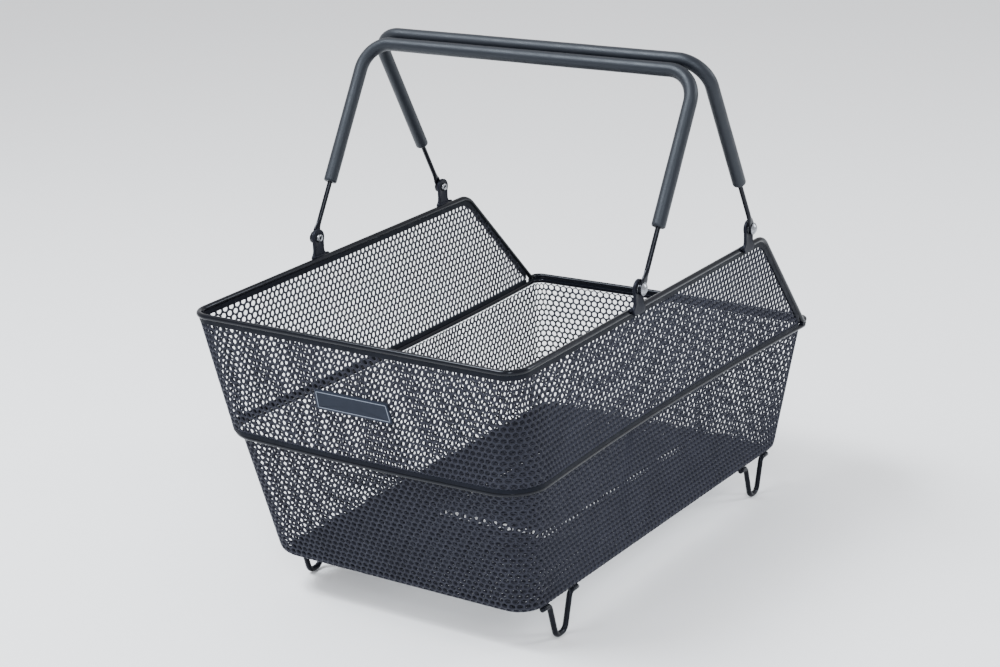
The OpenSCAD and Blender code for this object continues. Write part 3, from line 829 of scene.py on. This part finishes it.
def dome_rivet():
    """Along Z from the inside of the ear: a rolled eyelet, a shank, and the domed head."""
    head = Y_EYE + EYE_T / 2 + FIT_GAP - Y_EAR
    r_head, dome, shank, bore, soft = 4.9, 2.6, 1.75, 1.1, 0.35
    ball = (r_head ** 2 + dome ** 2) / (2 * dome)
    edge = math.degrees(math.asin((r_head - 0.02) / ball))
    p = [(bore, 3.0), (bore, -0.9)]
    p += arc(2.15, -0.95, 1.05, 180, 360, 10)
    p += [(3.35, -0.6), (3.3, -0.1), (3.0, -0.02), (shank, -0.02), (shank, head)]
    p += [(r_head - soft, head)] + arc(r_head - soft, head + soft, soft, -90, 0, 4)
    for a in np.radians(np.linspace(edge * 0.93, 1.2, 12)):
        p.append((ball * math.sin(a), head + dome - ball + ball * math.cos(a)))
    p += [(0.01, head + dome), (0.01, 3.0)]
    return lathe(p, 72)


def to_axis(verts, x, z, y):
    """Z of a lathed piece becomes +Y of the hinge."""
    return np.stack([verts[:, 0] + x, verts[:, 2] + y, -verts[:, 1] + z], 1)


def soft_ring(r0, r1, low, high, e, cut):
    """A flat ring turned round Z, its edges softened by e."""
    outer = [(r1 - e, low), (r1 - cut, low + cut), (r1, low + e)]
    outer += [(r1, high - e), (r1 - cut, high - cut), (r1 - e, high)]
    return lathe([(r0 + e, low), *outer, (r0 + e, high), (r0, high - e), (r0, low + e)])


def ear():
    """The ear about its pivot, with the weld beads round its foot."""
    parts = [plate(ear_outline(), PIN_BORE, Y_EAR, Y_EAR + EAR_T)]
    for sx in (-1, 1):
        start, end = (sx * 6.8, Y_EAR + 0.3, -14.7), (sx * 10.6, Y_EAR - 0.9, -15.0)
        parts.append(weld_bead(start, end, 1.3, 11))
    for half, y, z, r, seed in ((7.4, Y_EAR - 0.25, -15.2, 1.35, 12),
                                (6.6, Y_EAR + 0.1, -20.1, 0.8, 13)):
        parts.append(weld_bead((-half, y, z), (half, y, z), r, seed))
    return merge(parts)


for where, body in (("near", "near_handle"), ("far", "far_handle")):
    px, _, pz = PIVOTS[body]
    for side, sy in OUTWARD.items():
        tag = f"{where}_{side}"
        v, f = ear()
        v, f = fix_side(v + np.array([px, 0, pz]), f, sy)
        node = "bracket_" + tag
        add_mesh("ear_" + tag, v, f, "basket", MAT_BRACKET, (node,), sharp=48)
        v, f = dome_rivet()
        v, f = fix_side(to_axis(v, px, pz, Y_EAR), f, sy)
        add_mesh("pin_" + tag, v, f, "basket", MAT_METAL, ("rivet_" + tag,), sharp=40)
        v, f = soft_ring(1.78, 4.5, 0, WASHER_T, 0.18, 0.05)
        v, f = fix_side(to_axis(v, px, pz, Y_EAR + EAR_T + 0.01), f, sy)
        add_mesh("spacer_" + tag, v, f, "basket", MAT_METAL, ("washer_" + tag,), sharp=40)

# ---------------------------------------------------------------- handles, drawn upright
up_line = [(0, -Y_EYE, 12, 0), (0, -Y_EYE, REACH, BEND), (0, Y_EYE, REACH, BEND), (0, Y_EYE, 12, 0)]
grip_line = [(0, -Y_EYE, GRIP_START, 0), up_line[1], up_line[2], (0, Y_EYE, GRIP_START, 0)]
FLAT_HALF = 3.7  # half width of the rod's flattened ends
FLAT_TOP = 16.5  # where they have become round


def rod_section(z):
    """Half width across X and half thickness across Y of the flattened end at height z."""
    f = float(smooth(np.array((z - 5.0) / 11.0)))
    wide = FLAT_HALF + (ROD_D / 2 - FLAT_HALF) * f
    return wide, (EYE_T / 2 - 0.04) + (ROD_D / 2 - EYE_T / 2 + 0.04) * f


def handle_rod():
    """The rod from flattened end to flattened end, each with a drilled round eye."""
    path = resample(rounded(up_line, False, 16), 6.0)
    ends = np.array([2.7, 3.6, 4.6, 5.8, 7.0, 8.4, 9.8, 11.2, 12.6, 14.0, 15.6])
    low = np.stack([np.zeros(len(ends)), np.full(len(ends), -Y_EYE), ends], 1)
    path = np.concatenate([low, path[path[:, 2] > 17.0], (low * np.array([1, -1, 1]))[::-1]])
    ang = turns(WIRE_SIDES)
    s = np.tile(np.array([1.0, 0, 0]), (len(path), 1))
    u = np.cross(s, tangents(path, False))
    rings = []
    for k, point in enumerate(path):
        straight = abs(point[1]) > Y_EYE - 0.01 and point[2] < FLAT_TOP
        a, b = rod_section(point[2]) if straight else (ROD_D / 2, ROD_D / 2)
        power = 0.55 if straight and point[2] < 9 else 1.0  # below 1 is squarer
        ca, sa = np.cos(ang), np.sin(ang)
        ca, sa = np.sign(ca) * np.abs(ca) ** power, np.sign(sa) * np.abs(sa) ** power
        rings.append(point + a * ca[:, None] * s[k] + b * sa[:, None] * u[k])
    verts, faces = capped(np.array(rings), WIRE_SIDES)
    parts = [(verts, [f[:, ::-1] for f in faces])]
    for sy in (-1, 1):
        v, f = soft_ring(1.81, 5.0, -EYE_T / 2, EYE_T / 2, 0.35, 0.1)
        parts.append((to_axis(v, 0, 0, sy * Y_EYE), f))
    return merge(parts)


def grip_sleeve():
    """The foam sleeve with soft ends and its bore."""
    path = resample(rounded(grip_line, False, 20), 3.0)
    s = np.concatenate([[0], np.cumsum(np.linalg.norm(np.diff(path, axis=0), axis=1))])
    ends = np.array([0.0, 0.12, 0.4, 0.9, 1.6])
    extra = np.concatenate([ends, s[-1] - ends[::-1]])
    at = np.unique(np.concatenate([s[(s > 2.4) & (s < s[-1] - 2.4)], extra]))
    path = np.stack([np.interp(at, s, path[:, k]) for k in range(3)], 1)
    d = np.minimum(at, at[-1] - at)
    soft, sides = 1.5, 32
    round_end = np.sqrt(np.clip(soft ** 2 - (soft - np.minimum(d, soft)) ** 2, 0, None))
    r = GRIP_D / 2 - soft + round_end
    slow = 1 + 0.006 * np.sin(at * 0.061) + 0.004 * np.sin(at * 0.173 + 1.0)

    def tube(run, radii):
        return sweep(run, radii, (1, 0, 0), False, sides)

    inner = tube(path, ROD_D / 2 + 0.05)
    mouths = tube(path[:2], ROD_D / 2 + 0.5)[:1], tube(path[-2:], ROD_D / 2 + 0.5)[-1:]
    rings = np.concatenate([mouths[0], tube(path, r * slow), mouths[1], inner[::-1]])
    return rings.reshape(-1, 3), [grid_faces(len(rings), sides, True)]


def leaned(verts, body):
    """From upright to the rest pose, and from the pivot to its place."""
    a = LEAN[body]
    x, y, z = verts[:, 0], verts[:, 1], verts[:, 2]
    turned = (x * math.cos(a) + z * math.sin(a), y, -x * math.sin(a) + z * math.cos(a))
    return np.stack(turned, 1) + PIVOTS[body] * np.array([1, 0, 1])


for where in ("near", "far"):
    body = where + "_handle"
    v, f = handle_rod()
    v, node = leaned(v, body), body + "_rod"
    add_mesh(where + "_rod", v, f, body, MAT_WIRE, (node,), sharp=60)
    v, f = grip_sleeve()
    v, node = leaned(v, body), body + "_grip"
    grip = add_mesh(where + "_grip", v, f, body, MAT_FOAM, (node,), sharp=60)

# ---------------------------------------------------------------- feet
FOOT_HALF, FOOT_BEND = 6.5, 6.6  # of the U's round bottom
FOOT_END, FOOT_TOP_BEND = 11, 5  # length and bend of the ends under the floor
for where in ("near", "far"):
    for side, sy in OUTWARD.items():
        tag = f"foot_{where}_{side}"
        lo, hi = (np.array(v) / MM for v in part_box(tag))
        x, y, r = (lo[0] + hi[0]) / 2, abs(lo[1] + hi[1]) / 2, (hi[1] - lo[1]) / 2
        top = hi[2] - r
        half = (hi[0] - lo[0]) / 2
        turn_x = half - FOOT_END
        right = [(FOOT_HALF, 0, r, FOOT_BEND), (turn_x, 0, top, FOOT_TOP_BEND), (half, 0, top, 0)]
        line = [(-p[0], *p[1:]) for p in right[::-1]] + right
        path = resample(rounded(line, False, 12), 3.0) + np.array([x, y, 0])
        d = np.minimum(np.arange(len(path)), np.arange(len(path))[::-1])
        radii = np.where(d == 0, r * 0.55, np.where(d == 1, r * 0.93, r))
        path[1] = path[0] + np.array([0.8, 0, 0])
        path[-2] = path[-1] - np.array([0.8, 0, 0])
        parts = [capped(sweep(path, radii, (0, 1, 0), False, WIRE_SIDES), WIRE_SIDES)]
        for seed, sx in ((21, -1), (22, 1)):
            inner, outer = ((x + sx * (half - d), y + 1.6, top + 1.6) for d in (9, 1.5))
            parts.append(weld_bead(inner, outer, 1.25, seed))
        v, f = merge(parts)
        v, f = fix_side(v, f, sy)
        add_mesh("wire_" + tag, v, f, "basket", MAT_FOOT, (tag,), sharp=60)

# ---------------------------------------------------------------- badge
BADGE_Z = 195.5
BADGE_OUT = 0.65  # how far the plate's back stands off the wall's line
tilt_run = X_NEAR - (RING_NEAR - WALL_OUT - BULGE)
tilt = math.atan(tilt_run / (rim_at(X_NEAR) - ring_at(RING_NEAR)))
b_w, b_h, b_t = 34.5, 8.25, 1.6
shape = [
    (-b_w + 2, -b_h), (b_w + 1, -b_h), (b_w + 2.2, -b_h + 1.4), (b_w - 0.6, b_h - 1.2),
    (b_w - 2.4, b_h), (-b_w + 1.4, b_h), (-b_w, b_h - 1.6), (-b_w + 0.8, -b_h + 1),
]


def inset_loop(pts, d):
    """Every edge of a convex outline moved inwards."""
    p = np.array(pts, float)
    n = len(p)
    out = []
    for k in range(n):
        a, b, c = p[k - 1], p[k], p[(k + 1) % n]
        e0, e1 = (b - a) / np.linalg.norm(b - a), (c - b) / np.linalg.norm(c - b)
        n0, n1 = np.array([-e0[1], e0[0]]), np.array([-e1[1], e1[0]])
        bis = n0 + n1
        bis /= np.linalg.norm(bis)
        out.append(b + bis * d / max(0.3, float(bis @ n0)))
    return np.array(out)


def badge_rings(spec):
    """Rings of the outline at (inset, height)."""
    n = len(shape)
    return np.array([np.column_stack([inset_loop(shape, d), np.full(n, h)]) for d, h in spec])


def badge_place(verts):
    """From the plate's own plane (across, up, out) to the leaning wall."""
    x = wall_x(BADGE_Z) - BULGE * (1 - lift(BADGE_Z)) - BADGE_OUT
    across, up, out = verts[:, 0], verts[:, 1], verts[:, 2]
    c, s = math.cos(tilt), math.sin(tilt)
    return np.stack([x - out * c + up * s, -across, BADGE_Z + up * c + out * s], 1)


body_spec = [
    (0.5, 0), (0.15, 0.12), (0.0, 0.4), (0.0, b_t - 0.5), (0.12, b_t - 0.15), (0.45, b_t),
    (1.5, b_t), (1.62, b_t - 0.14), (2.28, b_t - 0.14), (2.4, b_t), (2.6, b_t),
]
v, f = capped(badge_rings(body_spec), len(shape))
add_mesh("badge", badge_place(v), f, "basket", MAT_BADGE, ("badge_plate",), sharp=35)
line_spec = [(1.66, b_t - 0.2), (1.66, b_t - 0.05), (2.24, b_t - 0.05), (2.24, b_t - 0.2)]
v = badge_place(badge_rings(line_spec).reshape(-1, 3))
f = [grid_faces(len(line_spec), len(shape), True)]
add_mesh("badge_inlay", v, f, "basket", MAT_BADGE_LINE, (), sharp=35)

# ---------------------------------------------------------------- floor, light, camera
me = bpy.data.meshes.new("studio_floor")
FLOOR_REACH, GROUND_Z = 40.0, -0.0004
corners = ((-1, -1), (1, -1), (1, 1), (-1, 1))
ground_verts = [(sx * FLOOR_REACH, sy * FLOOR_REACH, GROUND_Z) for sx, sy in corners]
me.from_pydata(ground_verts, [], [(0, 1, 2, 3)])
ground = bpy.data.objects.new("studio_floor", me)
bpy.context.scene.collection.objects.link(ground)
pale = Nodes("pale_floor", (0.93, 0.93, 0.935), 0.8)
pale.paint(pale.mix(pale.noise(3.0, 3.0), (0.925, 0.925, 0.93), (0.94, 0.94, 0.945)))
me.materials.append(pale.mat)

world = bpy.data.worlds.new("studio")
world.use_nodes = True
sky = next(n for n in world.node_tree.nodes if n.type == "BACKGROUND")
sky.inputs["Color"].default_value = (0.965, 0.975, 1.0, 1)
sky.inputs["Strength"].default_value = 1.15
bpy.context.scene.world = world


def soft_light(name, place, target, size, power):
    data = bpy.data.lights.new(name, "AREA")
    data.shape = "RECTANGLE"
    data.size, data.size_y = size
    data.energy = power
    data.color = (0.90, 0.95, 1.0)
    ob = bpy.data.objects.new(name, data)
    ob.location = place
    ob.rotation_mode = "QUATERNION"
    ob.rotation_quaternion = (Vector(target) - Vector(place)).to_track_quat("-Z", "Y")
    bpy.context.scene.collection.objects.link(ob)


AIM = (0, 0, 0.2)
soft_light("key", (-0.9, 0.7, 2.0), AIM, (1.2, 0.7), 85)
soft_light("front", (-1.9, -1.4, 1.5), AIM, (0.45, 0.9), 34)
soft_light("side", (1.4, -1.6, 1.2), AIM, (0.5, 0.8), 26)

cam_data = bpy.data.cameras.new("camera")
camera = bpy.data.objects.new("camera", cam_data)
bpy.context.scene.collection.objects.link(camera)
# azimuth, elevation, roll, place, lens and shift as fitted to the photograph
az, el, roll = math.radians(-55.97), math.radians(19.44), math.radians(-1.7)
back = Vector((math.sin(az) * math.cos(el), -math.cos(az) * math.cos(el), math.sin(el)))
level_right = (-back).cross(Vector((0, 0, 1))).normalized()
level_up = level_right.cross(-back)
right = math.cos(roll) * level_right + math.sin(roll) * level_up
upward = -math.sin(roll) * level_right + math.cos(roll) * level_up
turn = Matrix((right, upward, back)).transposed()
camera.matrix_world = Matrix.Translation((-1.3481, -0.8950, 0.7092)) @ turn.to_4x4()
cam_data.sensor_width = 36.0
cam_data.lens = 73.86
cam_data.shift_x, cam_data.shift_y = -0.0128, 0.0530
cam_data.clip_start, cam_data.clip_end = 0.05, 50
bpy.context.scene.camera = camera
